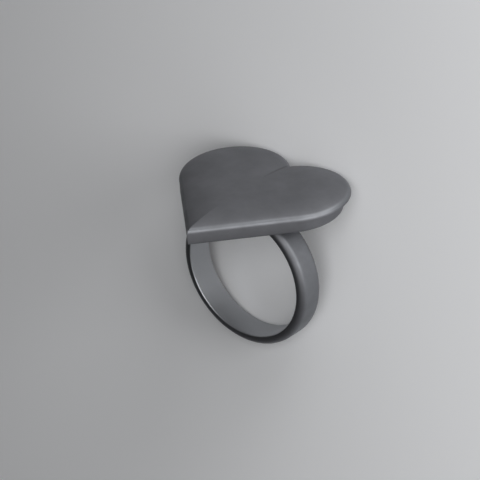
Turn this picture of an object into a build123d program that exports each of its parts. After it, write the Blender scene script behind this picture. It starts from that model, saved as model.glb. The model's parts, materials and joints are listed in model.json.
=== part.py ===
from build123d import *
from math import acos, atan2, cos, degrees, hypot, radians, sin, sqrt, tan
import os

# A heart ring, cast in one piece. A round band with a comfort-rounded outside carries a
# heart-shaped head whose point runs out along the finger. The head is a flat-sided plate
# under a shallow cushion, which meets in a ridge at the point and a valley at the notch.
# It is drawn standing on its band and then laid on its side, as it rests on a table.
# Millimetres. While it is drawn, X goes across the heart, Y along the finger from the
# heart's point to its notch, and Z up from the finger through the head.

# Band
bore_diameter = 17.0
band_width = 3.7
band_thickness = 1.2
band_edge_round = 0.85
bore_edge_round = 0.15

# Heart, seen from above: each half is a straight side from the point and a round lobe
point_reach = 11.5
point_half_angle = 44.0
side_length = 14.2
lobe_radius = 7.0

# Plate under the cushion: its sides stand back under the lobes and meet the rim at the point
plate_seat = 0.2
plate_height = 1.48
lobe_overhang = 1.1
plate_edge_round = 0.2

# Cushion, from the rim inward: a tight shoulder that rises almost straight from the plate's
# side, a softer brow above it, then a long shallow slope up to a flat middle
shoulder_radius = 0.72
shoulder_foot_angle = 87.0
brow_angle = 20.0
brow_width = 0.82
slope_angle = 12.5
slope_width = 3.45

bore_radius = bore_diameter / 2
band_radius = bore_radius + band_thickness
plate_bottom = bore_radius + plate_seat
rim_level = plate_bottom + plate_height

# Plan of the half heart, with its point at the origin
side_angle = radians(point_half_angle)
along_side = Vector(sin(side_angle), cos(side_angle))
off_side = Vector(-cos(side_angle), sin(side_angle))
side_end = along_side * side_length
lobe_centre = side_end + off_side * lobe_radius
notch = Vector(0, lobe_centre.Y + sqrt(lobe_radius**2 - lobe_centre.X**2))
off_notch = (lobe_centre - notch).normalized()
past_notch = Vector(off_notch.Y, -off_notch.X)
heart_length = lobe_centre.Y + lobe_radius
lobe_turn = 180 + degrees(atan2(off_notch.Y, off_notch.X)) + point_half_angle

# Section of the cushion, from the rim inward: where each arc ends, and how high
foot = radians(shoulder_foot_angle)
brow = radians(brow_angle)
slope = radians(slope_angle)
shoulder_inset = shoulder_radius * (sin(foot) - sin(brow))
shoulder_height = shoulder_radius * (cos(brow) - cos(foot))
brow_radius = brow_width / (sin(brow) - sin(slope))
brow_inset = shoulder_inset + brow_width
brow_height = shoulder_height + brow_radius * (cos(slope) - cos(brow))
slope_radius = slope_width / sin(slope)
flat_inset = brow_inset + slope_width
cushion_height = brow_height + slope_width * tan(slope / 2)


def half_outline(inset):
    """Half of the heart, standing in by a distance from its edge, as a face."""
    radius = lobe_radius - inset
    point = Vector(0, inset / sin(side_angle))
    lobe_start = lobe_centre - off_side * radius
    lobe_end = lobe_centre - off_notch * radius
    lobe_middle = lobe_centre + Vector(radius, 0).rotate(Axis.Z, lobe_turn / 2 - point_half_angle)
    valley = Vector(0, lobe_end.Y - lobe_end.X * past_notch.Y / past_notch.X)
    edges = [Line(point, lobe_start), ThreePointArc(lobe_start, lobe_middle, lobe_end)]
    if inset > 0:
        edges.append(Line(lobe_end, valley))
    edges.append(Line(valley, point))
    return make_face(Wire(edges))


def cushion_section():
    """The cushion cut square to its edge: inward along X, upward along Y."""

    def arc(start, end, steep, level, radius):
        """An arc from start to end, whose tilt eases off from steep to level."""
        centre = end - Vector(-sin(level), cos(level)) * radius
        way = (steep + level) / 2
        return ThreePointArc(start, centre + Vector(-sin(way), cos(way)) * radius, end)

    rim = Vector(0, 0)
    shoulder_top = Vector(shoulder_inset, shoulder_height)
    brow_top = Vector(brow_inset, brow_height)
    crest = Vector(flat_inset, cushion_height)
    outline = [
        arc(rim, shoulder_top, foot, brow, shoulder_radius),
        arc(shoulder_top, brow_top, brow, slope, brow_radius),
        arc(brow_top, crest, slope, 0, slope_radius),
        Line(crest, (lobe_radius, cushion_height)),
        Line((lobe_radius, cushion_height), (lobe_radius, 0)),
        Line((lobe_radius, 0), rim),
    ]
    return make_face(Wire(outline))


def mirrored(half):
    """Both halves of the heart from the one on the right."""
    return half + mirror(half, Plane.YZ)


def make_cushion():
    """The domed top: run along the side, round the lobe and on past the notch, then mirrored."""
    section = cushion_section()
    at_point = Plane(origin=(0, 0, 0), x_dir=off_side, z_dir=along_side)
    at_lobe = Plane(origin=side_end, x_dir=off_side, z_dir=along_side)
    at_notch = Plane(origin=notch, x_dir=off_notch, z_dir=past_notch)
    side_run = extrude(at_point * section, side_length)
    lobe_run = revolve(at_lobe * section, Axis(lobe_centre, (0, 0, 1)), lobe_turn)
    notch_run = extrude(at_notch * section, 2 * lobe_radius)
    flat_middle = extrude(half_outline(flat_inset), cushion_height)
    right_half = Pos(heart_length, heart_length / 2, 0) * Box(2 * heart_length, 2 * heart_length, heart_length)
    return mirrored((side_run + lobe_run + notch_run + flat_middle) & right_half)


def make_plate():
    """The upright-sided plate: the heart drawn smaller about its point, so its lobes stand back."""
    plate_share = 1 - lobe_overhang / heart_length
    outline = scale(mirrored(half_outline(0)), by=plate_share)
    plate = extrude(outline, plate_height)
    lower_edges = plate.faces().sort_by(Axis.Z)[0].edges()
    return fillet(lower_edges, plate_edge_round)


def make_band():
    """The hoop, turned about the finger, with large outer and small inner edge rounds."""
    section = Pos(0, bore_radius + band_thickness / 2) * Rectangle(band_width, band_thickness)
    section = fillet(section.vertices().group_by(Axis.Y)[-1], band_edge_round)
    section = fillet(section.vertices().group_by(Axis.Y)[0], bore_edge_round)
    return revolve(Plane.YZ * section, Axis.Y, 360)


def make_ring():
    """The whole ring, standing, with the middle of its bore at the origin."""
    plate = Pos(0, -point_reach, plate_bottom) * make_plate()
    cushion = Pos(0, -point_reach, rim_level) * make_cushion()
    return make_band() + plate + cushion


def resting(ring):
    """The ring laid on the back edge of its band and its two lobes, centred on the table."""
    rim_out = heart_length - point_reach
    edge_out = band_width / 2 - band_edge_round
    edge_down = band_radius - band_edge_round
    reach = hypot(rim_out - edge_out, rim_level + edge_down)
    lean = acos(band_edge_round / reach) - atan2(rim_level + edge_down, rim_out - edge_out)
    bore_level = edge_out * cos(lean) + edge_down * sin(lean) + band_edge_round
    laid = Plane(origin=(0, 0, bore_level), x_dir=(-1, 0, 0), z_dir=(0, -cos(lean), sin(lean)))
    on_side = laid.location * ring
    middle = on_side.bounding_box().center()
    print("lean", degrees(lean), "bore middle", (0, -middle.Y, bore_level))
    return Pos(0, -middle.Y, 0) * on_side


heart_ring = resting(make_ring())

os.makedirs("parts", exist_ok=True)
export_step(heart_ring, "parts/heart_ring.step")
print("solids", len(heart_ring.solids()), "volume", heart_ring.volume, "middle", heart_ring.center(CenterOf.MASS))
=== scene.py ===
import bmesh
import bpy
import json
from math import atan2, cos, pi, radians, sin, sqrt, tan
from mathutils import Matrix, Vector


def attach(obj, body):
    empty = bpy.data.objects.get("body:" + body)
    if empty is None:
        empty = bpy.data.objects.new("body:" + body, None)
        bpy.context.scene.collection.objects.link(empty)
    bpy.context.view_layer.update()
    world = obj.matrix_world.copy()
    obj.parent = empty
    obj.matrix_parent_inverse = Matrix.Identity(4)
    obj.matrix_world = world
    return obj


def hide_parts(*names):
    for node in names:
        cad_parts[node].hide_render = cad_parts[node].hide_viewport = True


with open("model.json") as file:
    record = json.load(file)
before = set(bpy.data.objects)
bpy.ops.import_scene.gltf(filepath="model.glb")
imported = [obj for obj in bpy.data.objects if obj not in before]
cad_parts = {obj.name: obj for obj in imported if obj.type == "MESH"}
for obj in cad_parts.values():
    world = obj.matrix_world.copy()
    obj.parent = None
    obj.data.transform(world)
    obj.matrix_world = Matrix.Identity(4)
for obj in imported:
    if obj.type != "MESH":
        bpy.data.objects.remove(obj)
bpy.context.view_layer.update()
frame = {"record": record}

# Heart head. On the real ring it is one casting with the band: an upright-sided heart plate
# under a shallow cushion. From the rim inward the cushion has a tight shoulder, a softer brow
# and a long slope; the slopes meet in a ridge at the point and a valley at the notch.

# Sizes are in millimetres. The ring is drawn standing, with the middle of its finger hole at the
# origin: X across the heart, Y along the finger from the point to the notch, Z up to the head.
MM = 0.001
BORE_RADIUS = 8.5
POINT_REACH = 11.5
HALF_ANGLE = radians(44.0)
SIDE_LENGTH = 14.2
LOBE_RADIUS = 7.0
PLATE_SEAT = 0.2
PLATE_HEIGHT = 1.48
PLATE_ROUND = 0.2
LOBE_OVERHANG = 1.1

# The cushion's arcs, from the rim inward: how steep each one starts, and its radius or width.
SHOULDER_FOOT = radians(87.0)
SHOULDER_RADIUS = 0.72
BROW = radians(20.0)
BROW_WIDTH = 0.82
SLOPE = radians(12.5)
SLOPE_WIDTH = 3.45

# How many steps the mesh takes along each stretch of the outline, and along each arc.
SIDE_STEPS = 12
RUN_STEPS = 2
LOBE_STEPS = 72
VALLEY_STEPS = 6
SHOULDER_STEPS = 12
BROW_STEPS = 4
SLOPE_STEPS = 12
ROUND_STEPS = 8

# Points of the mesh that lie closer than this are one.
MERGE_REACH = 0.00001

PLATE_BOTTOM = BORE_RADIUS + PLATE_SEAT
RIM_LEVEL = PLATE_BOTTOM + PLATE_HEIGHT
along = Vector((sin(HALF_ANGLE), cos(HALF_ANGLE)))
inward = Vector((-cos(HALF_ANGLE), sin(HALF_ANGLE)))
lobe_centre = along * SIDE_LENGTH + inward * LOBE_RADIUS
notch = Vector((0, lobe_centre.y + sqrt(LOBE_RADIUS**2 - lobe_centre.x**2)))
lobe_start = atan2(-inward.y, -inward.x)
lobe_end = atan2(notch.y - lobe_centre.y, -lobe_centre.x)
HEART_LENGTH = lobe_centre.y + LOBE_RADIUS
PLATE_SHARE = 1 - LOBE_OVERHANG / HEART_LENGTH


def half_heart(share, inset):
    """The right half of the heart, from its point round the lobe to its notch.

    The plate is the heart drawn smaller by its share, and each loop stands in from the edge by
    an inset. All loops have as many points as each other. The cushion's straight side is longer
    than the plate's, so it takes a few of the lobe's steps."""
    straight = SIDE_LENGTH * PLATE_SHARE
    first = inset / tan(HALF_ANGLE)
    side = [first + (straight - first) * k / SIDE_STEPS for k in range(SIDE_STEPS + 1)]
    run = SIDE_LENGTH * share - straight
    run_steps = RUN_STEPS if share == 1 else 0
    side += [straight + run * k / RUN_STEPS for k in range(1, run_steps + 1)]
    points = [along * length + inward * inset for length in side]
    turns = LOBE_STEPS + RUN_STEPS - run_steps
    radius = LOBE_RADIUS * share - inset
    for k in range(1, turns + 1):
        way = lobe_start + (lobe_end - lobe_start) * k / turns
        points.append(lobe_centre * share + Vector((cos(way), sin(way))) * radius)
    end = points[-1]
    leaving = Vector((-sin(lobe_end), cos(lobe_end)))
    valley = end - leaving * (end.x / leaving.x)
    points += [end.lerp(valley, k / VALLEY_STEPS) for k in range(1, VALLEY_STEPS + 1)]
    points[0].x = points[-1].x = 0
    return points


def heart_loops():
    """Closed loops round the head, from the middle of its top to the middle of its underside."""
    brow_radius = BROW_WIDTH / (sin(BROW) - sin(SLOPE))
    slope_radius = SLOPE_WIDTH / sin(SLOPE)
    arcs = [
        (SHOULDER_FOOT, BROW, SHOULDER_RADIUS, SHOULDER_STEPS),
        (BROW, SLOPE, brow_radius, BROW_STEPS),
        (SLOPE, 0, slope_radius, SLOPE_STEPS),
    ]
    inset, level = 0, 0
    section = [(1, inset, level)]
    for steep, eased, radius, steps in arcs:
        for k in range(1, steps + 1):
            way = steep + (eased - steep) * k / steps
            further = radius * (sin(steep) - sin(way))
            higher = radius * (cos(way) - cos(steep))
            section.append((1, inset + further, level + higher))
        inset, level = section[-1][1:]
    section.reverse()
    section.append((PLATE_SHARE, 0, 0))
    for k in range(ROUND_STEPS + 1):
        way = pi / 2 * k / ROUND_STEPS
        further = PLATE_ROUND * (1 - cos(way))
        section.append((PLATE_SHARE, further, PLATE_ROUND * (1 - sin(way)) - PLATE_HEIGHT))
    loops = []
    for share, inset, level in section:
        right = half_heart(share, inset)
        left = [Vector((-p.x, p.y)) for p in reversed(right[1:-1])]
        loop = [Vector((p.x, p.y - POINT_REACH, RIM_LEVEL + level)) for p in right + left]
        loops.append([p * MM for p in loop])
    return loops


def make_head():
    """The head as one closed shell, standing on the finger's axis."""
    shape = bmesh.new()
    rings = [[shape.verts.new(p) for p in loop] for loop in heart_loops()]
    shape.faces.new(rings[0])
    shape.faces.new(reversed(rings[-1]))
    for upper, lower in zip(rings, rings[1:]):
        for k in range(len(upper)):
            after = (k + 1) % len(upper)
            shape.faces.new((upper[k], lower[k], lower[after], upper[after]))
    bmesh.ops.remove_doubles(shape, verts=shape.verts, dist=MERGE_REACH * MM)
    bmesh.ops.dissolve_degenerate(shape, edges=shape.edges, dist=MERGE_REACH * MM)
    bmesh.ops.recalc_face_normals(shape, faces=shape.faces)
    mesh = bpy.data.meshes.new("heart_head")
    shape.to_mesh(mesh)
    shape.free()
    return mesh


casting = bpy.data.objects.new("ring_casting", make_head())
bpy.context.scene.collection.objects.link(casting)


# Band. A round hoop of the same casting, square to the finger, with comfort-rounded outer
# edges and a small round on each edge of its bore. Its top runs into the underside of the
# head, so the two are joined here into one closed body.
BAND_WIDTH = 3.7
BAND_THICKNESS = 1.2
BAND_OUTER_ROUND = 0.85
BAND_BORE_ROUND = 0.15
BAND_RADIUS = BORE_RADIUS + BAND_THICKNESS
HOOP_STEPS = 180
EDGE_STEPS = 11
SHARP_EDGE = radians(13.0)

# How the standing ring is laid down, read from the mount in its hole.
hole = frame["record"]["mounts"][0]
finger_way = Vector(hole["axis"]).normalized()
across = Vector((-1, 0, 0))
laid = Matrix((across, -finger_way, across.cross(-finger_way))).transposed()


def add(tree, kind, links, **settings):
    """Adds a node: settings go to its properties, links to its inputs by name or number."""
    node = tree.nodes.new(kind)
    for name, value in settings.items():
        setattr(node, name, value)
    for socket, value in links.items():
        if isinstance(value, bpy.types.NodeSocket):
            tree.links.new(value, node.inputs[socket])
        else:
            node.inputs[socket].default_value = value
    return node


def casting_tree(material):
    """Sweeps the band's section round the finger and joins the hoop to the head."""
    tree = bpy.data.node_groups.new("ring_casting", "GeometryNodeTree")
    tree.interface.new_socket("Head", in_out="INPUT", socket_type="NodeSocketGeometry")
    sizes = {
        "Bore radius": BORE_RADIUS,
        "Band width": BAND_WIDTH,
        "Band thickness": BAND_THICKNESS,
        "Outer round": BAND_OUTER_ROUND,
        "Bore round": BAND_BORE_ROUND,
    }
    for name, size in sizes.items():
        socket = tree.interface.new_socket(name, in_out="INPUT", socket_type="NodeSocketFloat")
        socket.default_value = size * MM
    tree.interface.new_socket("Casting", in_out="OUTPUT", socket_type="NodeSocketGeometry")
    size = tree.nodes.new("NodeGroupInput").outputs

    # The path: a circle through the middle of the band's wall.
    halved = {0: size["Band thickness"], 1: 0.5}
    half_wall = add(tree, "ShaderNodeMath", halved, operation="MULTIPLY").outputs[0]
    outward = {0: size["Bore radius"], 1: half_wall}
    middle = add(tree, "ShaderNodeMath", outward, operation="ADD").outputs[0]
    circle = {"Resolution": HOOP_STEPS, "Radius": middle}
    finger = add(tree, "GeometryNodeCurvePrimitiveCircle", circle).outputs["Curve"]
    upright = add(tree, "GeometryNodeSetCurveNormal", {"Curve": finger}, mode="Z_UP")

    # The section: an oblong, whose corners on the outer side have the larger rounds.
    flat = {"Width": size["Band thickness"], "Height": size["Band width"]}
    oblong = add(tree, "GeometryNodeCurvePrimitiveQuadrilateral", flat)
    position = add(tree, "GeometryNodeInputPosition", {}).outputs[0]
    place = add(tree, "ShaderNodeSeparateXYZ", {0: position}).outputs["X"]
    outside = add(tree, "ShaderNodeMath", {0: place, 1: 0.0}, operation="GREATER_THAN").outputs[0]
    rounds = {"Switch": outside, "False": size["Bore round"], "True": size["Outer round"]}
    edge_round = add(tree, "GeometryNodeSwitch", rounds, input_type="FLOAT").outputs[0]
    corners = {"Curve": oblong.outputs["Curve"], "Radius": edge_round, "Count": EDGE_STEPS}
    section = add(tree, "GeometryNodeFilletCurve", corners, mode="POLY").outputs["Curve"]

    swept = {"Curve": upright.outputs["Curve"], "Profile Curve": section}
    hoop = add(tree, "GeometryNodeCurveToMesh", swept).outputs["Mesh"]
    raised = {"Geometry": hoop, "Rotation": (pi / 2, 0, 0)}
    stood = add(tree, "GeometryNodeTransform", raised).outputs[0]

    joined = add(tree, "GeometryNodeMeshBoolean", {}, operation="UNION", solver="MANIFOLD")
    tree.links.new(stood, joined.inputs["Mesh 2"])
    tree.links.new(size["Head"], joined.inputs["Mesh 2"])
    whole = add(tree, "GeometryNodeRealizeInstances", {"Geometry": joined.outputs["Mesh"]})
    finished = {"Geometry": whole.outputs["Geometry"], "Material": material}
    painted = add(tree, "GeometryNodeSetMaterial", finished)
    add(tree, "NodeGroupOutput", {"Casting": painted.outputs["Geometry"]})
    return tree


# The silver's tones and how rough they are: darkened all over; deepest in the recesses, as tarnish
# and painted shade; rubbed brighter on the high places, which on the shoulder is also a painted
# highlight; and polished in the bore, lightened there also as painted light against the shade
# inside the hoop. A pair is the two ends of a mottle.
DULLED = ("#77787c", "#808185")
TARNISH_AND_SHADE = "#4a4c4e"
RUBBED_AND_HIGHLIGHT = "#898b8f"
POLISHED_AND_LIGHTENED = ("#afb2b5", "#bcbdc1")
DULLED_ROUGHNESS = (0.62, 0.54)
RUBBED_ROUGHNESS = 0.5
POLISHED_ROUGHNESS = (0.4, 0.5)

# How far the dark, tarnish and painted shade, goes in the recesses, how much of that the valley's
# line has, and the level on the cushion's shoulder that is rubbed most, where the painted
# highlight is brightest.
TARNISH_AND_SHADE_SHARE = 0.8
VALLEY_SHADE_SHARE = 0.6
SHOULDER_HIGHLIGHT_LEVEL = RIM_LEVEL + 0.42

# Its marks, in millimetres. A noise keeps mostly between the two values of its spread.
CLOUD_SIZE = 3.5
LINE_SIZE = 0.12
LINE_LENGTH = 2.0
BEAD_SIZE = 0.16
MARK_DEPTH = 0.02
NOISE_SPREAD = (0.3, 0.7)


def linear(colour):
    """The linear colour of an sRGB hex value."""
    parts = [int(colour[k:k + 2], 16) / 255 for k in (1, 3, 5)]
    return (*[c / 12.92 if c <= 0.04045 else ((c + 0.055) / 1.055) ** 2.4 for c in parts], 1)


def satin_silver():
    """Cast sterling silver, blasted with fine glass beads to an even satin and left to darken.

    The blasting breaks up every reflection, so the eye sees soft grey shading with a broad sheen,
    a faint cloudiness, and a fine grain only close to. The dark stays deepest under the head
    beside the band and along the valley: partly tarnish where nothing rubs, partly painted shade.
    Fingers and pockets have rubbed the crown of the band and the heart's shoulder brighter; on the
    shoulder the brightening is also a painted highlight. The bore is polished, and its much
    lighter colour is also painted light against the shade inside the hoop.
    A Mix node takes its share at 0, plain numbers at 2 and 3, and colours at 6 and 7."""
    material = bpy.data.materials.new("satin_blasted_silver")
    material.use_nodes = True
    tree = material.node_tree
    shader = tree.nodes["Principled BSDF"]
    shader.inputs["Metallic"].default_value = 1.0

    # Place on the standing ring, in millimetres: across the heart, along the finger, and up.
    turned = {
        "Vector": add(tree, "ShaderNodeTexCoord", {}).outputs["Object"],
        "Location": hole["pos_m"],
        "Rotation": laid.to_euler(),
        "Scale": (MM, MM, MM),
    }
    stood = add(tree, "ShaderNodeMapping", turned, vector_type="TEXTURE").outputs[0]
    across_heart, along_finger, level = add(tree, "ShaderNodeSeparateXYZ", {0: stood}).outputs
    flattened = {0: stood, 1: (1, 0, 1)}
    off_finger = add(tree, "ShaderNodeVectorMath", flattened, operation="MULTIPLY").outputs[0]
    reach = add(tree, "ShaderNodeVectorMath", {0: off_finger}, operation="LENGTH").outputs["Value"]
    off_middle = add(tree, "ShaderNodeMath", {0: across_heart}, operation="ABSOLUTE").outputs[0]
    off_band = add(tree, "ShaderNodeMath", {0: along_finger}, operation="ABSOLUTE").outputs[0]
    lowered = {0: level, 1: SHOULDER_HIGHLIGHT_LEVEL}
    higher = add(tree, "ShaderNodeMath", lowered, operation="SUBTRACT").outputs[0]
    off_shoulder = add(tree, "ShaderNodeMath", {0: higher}, operation="ABSOLUTE").outputs[0]

    # Where the dark (tarnish and painted shade), the wear (with the shoulder's painted highlight)
    # and the polish (with painted light in the bore) stand: each is none at the first size and
    # full at the second.
    places = {
        "up to head": (level, PLATE_BOTTOM - 0.8, PLATE_BOTTOM, "SMOOTHSTEP"),
        "beside band": (off_band, BAND_WIDTH / 2 + 1.05, BAND_WIDTH / 2 + 0.05, "SMOOTHSTEP"),
        "close to band": (reach, BAND_RADIUS + 1.3, BAND_RADIUS + 0.1, "SMOOTHSTEP"),
        "towards notch": (along_finger, 3.0, 6.0, "LINEAR"),
        "valley line": (off_middle, 0.3, 0.0, "SMOOTHSTEP"),
        "crown": (reach, BAND_RADIUS - 0.2, BAND_RADIUS, "SMOOTHSTEP"),
        "below head": (level, BORE_RADIUS, BORE_RADIUS - 1.0, "LINEAR"),
        "shoulder": (off_shoulder, 0.3, 0.1, "SMOOTHSTEP"),
        "bore": (reach, BORE_RADIUS + 0.12, BORE_RADIUS + 0.02, "LINEAR"),
    }
    fade = {}
    for name, (measure, none, full, easing) in places.items():
        ends = {"Value": measure, "From Min": none, "From Max": full}
        fade[name] = add(tree, "ShaderNodeMapRange", ends, interpolation_type=easing).outputs[0]

    # The darkening lies in clouds a few millimetres across, broken by finer spots.
    cloudy = {"Vector": stood, "Scale": 1 / CLOUD_SIZE, "Detail": 4.0, "Roughness": 0.55}
    clouds = add(tree, "ShaderNodeTexNoise", cloudy).outputs[0]
    mottle = {"Value": clouds, "From Min": NOISE_SPREAD[0], "From Max": NOISE_SPREAD[1]}
    toned = add(tree, "ShaderNodeMapRange", mottle).outputs[0]
    tones = {0: toned, 6: linear(DULLED[0]), 7: linear(DULLED[1])}
    dulled = add(tree, "ShaderNodeMix", tones, data_type="RGBA").outputs[2]
    mottle.update({"To Min": DULLED_ROUGHNESS[0], "To Max": DULLED_ROUGHNESS[1]})
    satin = add(tree, "ShaderNodeMapRange", mottle).outputs[0]

    # Recesses, darkened as tarnish and as painted shade: the corner of the band and the head's
    # underside, and the valley's line, which runs on down the notch to the round under the plate.
    lowest = {0: level, 1: PLATE_BOTTOM + 0.05}
    corner = add(tree, "ShaderNodeMath", lowest, operation="LESS_THAN").outputs[0]
    for name in ("up to head", "beside band", "close to band"):
        both = {0: corner, 1: fade[name]}
        corner = add(tree, "ShaderNodeMath", both, operation="MULTIPLY").outputs[0]
    topmost = {0: level, 1: PLATE_BOTTOM + PLATE_ROUND}
    valley = add(tree, "ShaderNodeMath", topmost, operation="GREATER_THAN").outputs[0]
    for share in (fade["towards notch"], fade["valley line"], VALLEY_SHADE_SHARE):
        both = {0: valley, 1: share}
        valley = add(tree, "ShaderNodeMath", both, operation="MULTIPLY").outputs[0]
    either = {0: corner, 1: valley}
    tarnish_and_shade = add(tree, "ShaderNodeMath", either, operation="MAXIMUM").outputs[0]
    held = {0: tarnish_and_shade, 1: TARNISH_AND_SHADE_SHARE}
    tarnish_and_shade = add(tree, "ShaderNodeMath", held, operation="MULTIPLY").outputs[0]
    darkened = {0: tarnish_and_shade, 6: dulled, 7: linear(TARNISH_AND_SHADE)}
    dark = add(tree, "ShaderNodeMix", darkened, data_type="RGBA").outputs[2]

    # Rubbed places: the crown of the band, but not the head above it, and the cushion's shoulder,
    # whose lighter colour is also a painted highlight. The clouds leave the rubbing uneven, from
    # under half to full.
    both = {0: fade["crown"], 1: fade["below head"]}
    band = add(tree, "ShaderNodeMath", both, operation="MULTIPLY").outputs[0]
    either = {0: band, 1: fade["shoulder"]}
    rubbed_and_highlit = add(tree, "ShaderNodeMath", either, operation="MAXIMUM").outputs[0]
    patchy = {"Value": clouds, "From Min": 0.35, "From Max": 0.65, "To Min": 0.45, "To Max": 1.0}
    uneven = add(tree, "ShaderNodeMapRange", patchy).outputs[0]
    wear_and_highlight = add(tree, "ShaderNodeMath", {0: rubbed_and_highlit, 1: uneven}, operation="MULTIPLY").outputs[0]
    brightened = {0: wear_and_highlight, 6: dark, 7: linear(RUBBED_AND_HIGHLIGHT)}
    worn_and_highlit = add(tree, "ShaderNodeMix", brightened, data_type="RGBA").outputs[2]
    smoother = add(tree, "ShaderNodeMix", {0: wear_and_highlight, 2: satin, 3: RUBBED_ROUGHNESS}).outputs[0]

    # The bore is polished on a turning stick, which leaves hair lines round it. They are 0.03 mm
    # apart and drawn at 0.12 mm, or they would not show. The bore keeps the brightest silver:
    # polished, and lightened further as painted light against the shade inside the hoop.
    drawn_out = {0: stood, 1: (1 / LINE_LENGTH, 1 / LINE_SIZE, 1 / LINE_LENGTH)}
    round_bore = add(tree, "ShaderNodeVectorMath", drawn_out, operation="MULTIPLY").outputs[0]
    hairs = {"Vector": round_bore, "Scale": 1.0, "Detail": 2.0}
    lines = add(tree, "ShaderNodeTexNoise", hairs).outputs[0]
    tones = {0: lines, 6: linear(POLISHED_AND_LIGHTENED[0]), 7: linear(POLISHED_AND_LIGHTENED[1])}
    polished_and_lightened = add(tree, "ShaderNodeMix", tones, data_type="RGBA").outputs[2]
    inside = {0: fade["bore"], 6: worn_and_highlit, 7: polished_and_lightened}
    colour = add(tree, "ShaderNodeMix", inside, data_type="RGBA").outputs[2]
    tree.links.new(colour, shader.inputs["Base Color"])
    mottle = {"Value": lines, "From Min": NOISE_SPREAD[0], "From Max": NOISE_SPREAD[1]}
    mottle.update({"To Min": POLISHED_ROUGHNESS[0], "To Max": POLISHED_ROUGHNESS[1]})
    buffed = add(tree, "ShaderNodeMapRange", mottle).outputs[0]
    sheen = add(tree, "ShaderNodeMix", {0: fade["bore"], 2: smoother, 3: buffed}).outputs[0]
    tree.links.new(sheen, shader.inputs["Roughness"])

    # Bead marks are about 0.06 mm across. They are drawn at 0.16 mm, or they would not show.
    dimples = {"Vector": stood, "Scale": 1 / BEAD_SIZE, "Detail": 2.0}
    beads = add(tree, "ShaderNodeTexNoise", dimples).outputs[0]
    relief = add(tree, "ShaderNodeMix", {0: fade["bore"], 2: beads, 3: lines}).outputs[0]
    marks = {"Height": relief, "Strength": 0.3, "Distance": MARK_DEPTH * MM}
    grain = add(tree, "ShaderNodeBump", marks).outputs[0]
    tree.links.new(grain, shader.inputs["Normal"])
    return material


grown = casting.modifiers.new("casting", "NODES")
grown.node_group = casting_tree(satin_silver())
bpy.context.view_layer.update()
evaluated = casting.evaluated_get(bpy.context.evaluated_depsgraph_get())
fused = bpy.data.meshes.new_from_object(evaluated)
casting.modifiers.remove(grown)
casting.data = fused

# The ridge and the valley fade out towards the flat middle, where only a marked edge keeps them
# crisp. They lie on the middle plane of the cushion.
MIDDLE_REACH = 0.001
CUSHION_FOOT = RIM_LEVEL - 0.01
fused.shade_smooth()
fused.set_sharp_from_angle(angle=SHARP_EDGE)
middle = set()
for point in fused.vertices:
    if abs(point.co.x) < MIDDLE_REACH * MM and point.co.z > CUSHION_FOOT * MM:
        middle.add(point.index)
for edge in fused.edges:
    if middle.issuperset(edge.vertices):
        edge.use_edge_sharp = True

# Laid down: it rests on the back edge of the band and on the two lobes.
resting = Matrix.Translation(hole["pos_m"]) @ laid.to_4x4()
fused.transform(resting)
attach(casting, "root")
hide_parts("heart_ring")


# Floor. A plain pale sheet, wide enough to fill every view, with no shine. It is in metres, as
# the lights are.
FLOOR_SIDE = 4.0
half = FLOOR_SIDE / 2
corners = [(-half, -half, 0), (half, -half, 0), (half, half, 0), (-half, half, 0)]
floor_mesh = bpy.data.meshes.new("floor")
floor_mesh.from_pydata(corners, [], [(0, 1, 2, 3)])
floor = bpy.data.objects.new("floor", floor_mesh)
bpy.context.scene.collection.objects.link(floor)
paper = bpy.data.materials.new("matt_pale_paper")
paper.use_nodes = True
paper_shader = paper.node_tree.nodes["Principled BSDF"]
paper_shader.inputs["Base Color"].default_value = linear("#f3f4f6")
paper_shader.inputs["Roughness"].default_value = 0.9
paper_shader.inputs["Specular IOR Level"].default_value = 0.2
floor_mesh.materials.append(paper)


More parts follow.
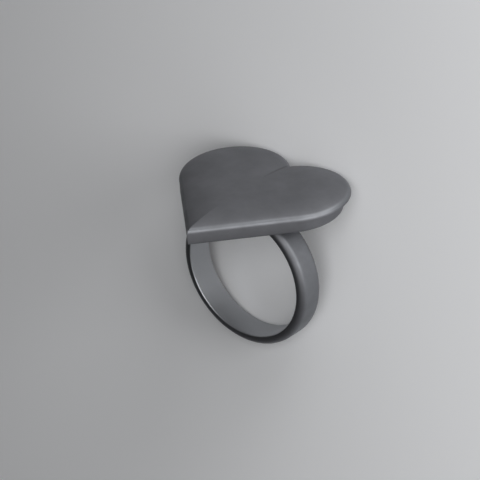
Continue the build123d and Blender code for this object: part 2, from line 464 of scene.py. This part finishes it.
# Light. Five soft panels round the ring, all of one size and equally far off. Each is given by
# its azimuth and elevation in degrees as seen from the ring, and its power in watts.
PANEL_SIDE = 0.13
PANEL_DISTANCE = 0.22
PANELS = {
    "side": (-72, 15, 0.224),
    "front": (-20, 10, 0.216),
    "top": (-80, 60, 0.125),
    "back": (-112, 46, 0.069),
    "fill": (13, 18, 0.023),
}
for name, (azimuth, elevation, watts) in PANELS.items():
    lamp = bpy.data.lights.new(name, "AREA")
    lamp.size = PANEL_SIDE
    lamp.energy = watts
    turn, rise = radians(azimuth), radians(elevation)
    way = Vector((sin(turn) * cos(rise), -cos(turn) * cos(rise), sin(rise)))
    light = bpy.data.objects.new(name, lamp)
    light.location = Vector(hole["pos_m"]) + way * PANEL_DISTANCE
    light.rotation_euler = way.to_track_quat("Z", "Y").to_euler()
    bpy.context.scene.collection.objects.link(light)

# A faint light from all round, so that no shadow is quite black.
world = bpy.data.worlds.new("studio")
world.use_nodes = True
world.node_tree.nodes["Background"].inputs["Color"].default_value = linear("#e9eaec")
world.node_tree.nodes["Background"].inputs["Strength"].default_value = 0.013
bpy.context.scene.world = world


# Camera. A long lens, placed round the standing ring: to the right of the heart's point, above
# its face and rolled a little. In millimetres, the middle of the finger hole lies right of the
# picture's middle and below it.
VIEW_AZIMUTH = radians(41.77)
VIEW_ELEVATION = radians(28.51)
VIEW_ROLL = radians(-4.46)
VIEW_DISTANCE = 996.3
LENS = 600.0
HOLE_RIGHT = 1.515
HOLE_DOWN = 3.588
ahead = Vector((sin(VIEW_AZIMUTH), -cos(VIEW_AZIMUTH), 0))
back = ahead * cos(VIEW_ELEVATION) + Vector((0, 0, sin(VIEW_ELEVATION)))
right = Vector((cos(VIEW_AZIMUTH), sin(VIEW_AZIMUTH), 0))
right.rotate(Matrix.Rotation(VIEW_ROLL, 3, back))
up = back.cross(right)
lens = bpy.data.cameras.new("camera")
lens.lens = LENS
camera = bpy.data.objects.new("camera", lens)
stand = Matrix((right, up, back)).transposed().to_4x4()
stand.translation = (back * VIEW_DISTANCE - right * HOLE_RIGHT + up * HOLE_DOWN) * MM
camera.matrix_world = resting @ stand
bpy.context.scene.collection.objects.link(camera)
bpy.context.scene.camera = camera
bpy.context.scene.view_settings.view_transform = "Standard"
